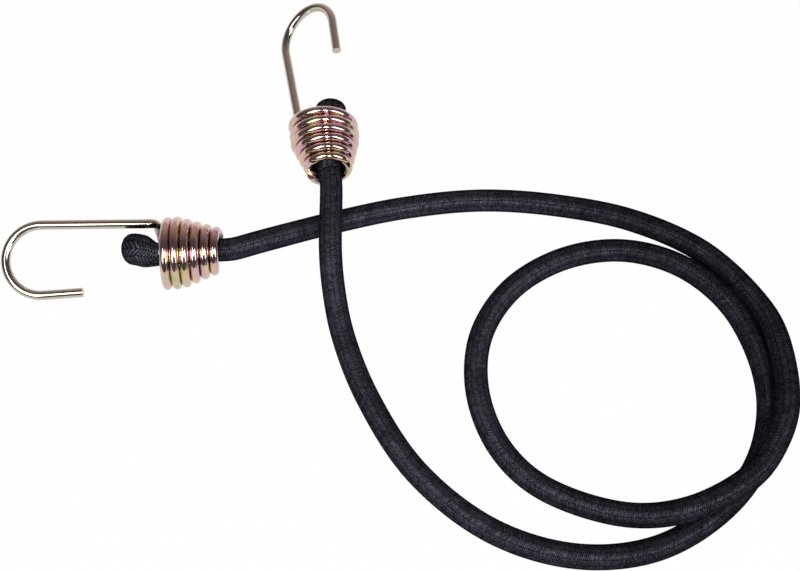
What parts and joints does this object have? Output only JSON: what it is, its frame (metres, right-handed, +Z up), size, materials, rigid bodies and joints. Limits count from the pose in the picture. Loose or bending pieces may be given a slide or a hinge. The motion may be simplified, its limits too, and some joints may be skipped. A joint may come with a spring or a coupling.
{
  "type": "bungee cord",
  "caption": "Elastic cord in a woven sheath with a coiled wire hook on each end, lying loose in an open loop, the hooks free to turn on the cord.",
  "frame": {"origin": "on the surface that the cord lies on, below the middle of the box round the two hooks", "axes": "+Z up from that surface, +X to the right and +Y away as the object is pictured"},
  "size_m": [0.3314, 0.2646, 0.0299],
  "materials": {
    "sheath": "fine diagonal braid of filament yarn, with a slight sheen",
    "core": "bundle of natural rubber strands",
    "hook": "bright yellow-passivated zinc plate on drawn steel wire",
    "clip": "bright zinc plate on steel strip"
  },
  "bodies": {
    "cord": {"cord_sheath": "sheath", "cord_core": "core", "left_fold_sheath": "sheath", "left_fold_core": "core", "left_clip": "clip", "right_fold_sheath": "sheath", "right_fold_core": "core", "right_clip": "clip"},
    "left_hook_body": {"left_hook": "hook"},
    "right_hook_body": {"right_hook": "hook"}
  },
  "joints": [
    {"name": "left_swivel", "type": "hinge", "parent": "cord", "child": "left_hook_body", "pos_m": [0.0183, -0.05441, 0.0148], "axis": [-0.9966, -0.083, 0], "continuous": true},
    {"name": "right_swivel", "type": "hinge", "parent": "cord", "child": "right_hook_body", "pos_m": [0.06294, -0.01749, 0.0148], "axis": [-0.1409, 0.99, 0], "continuous": true}
  ]
}
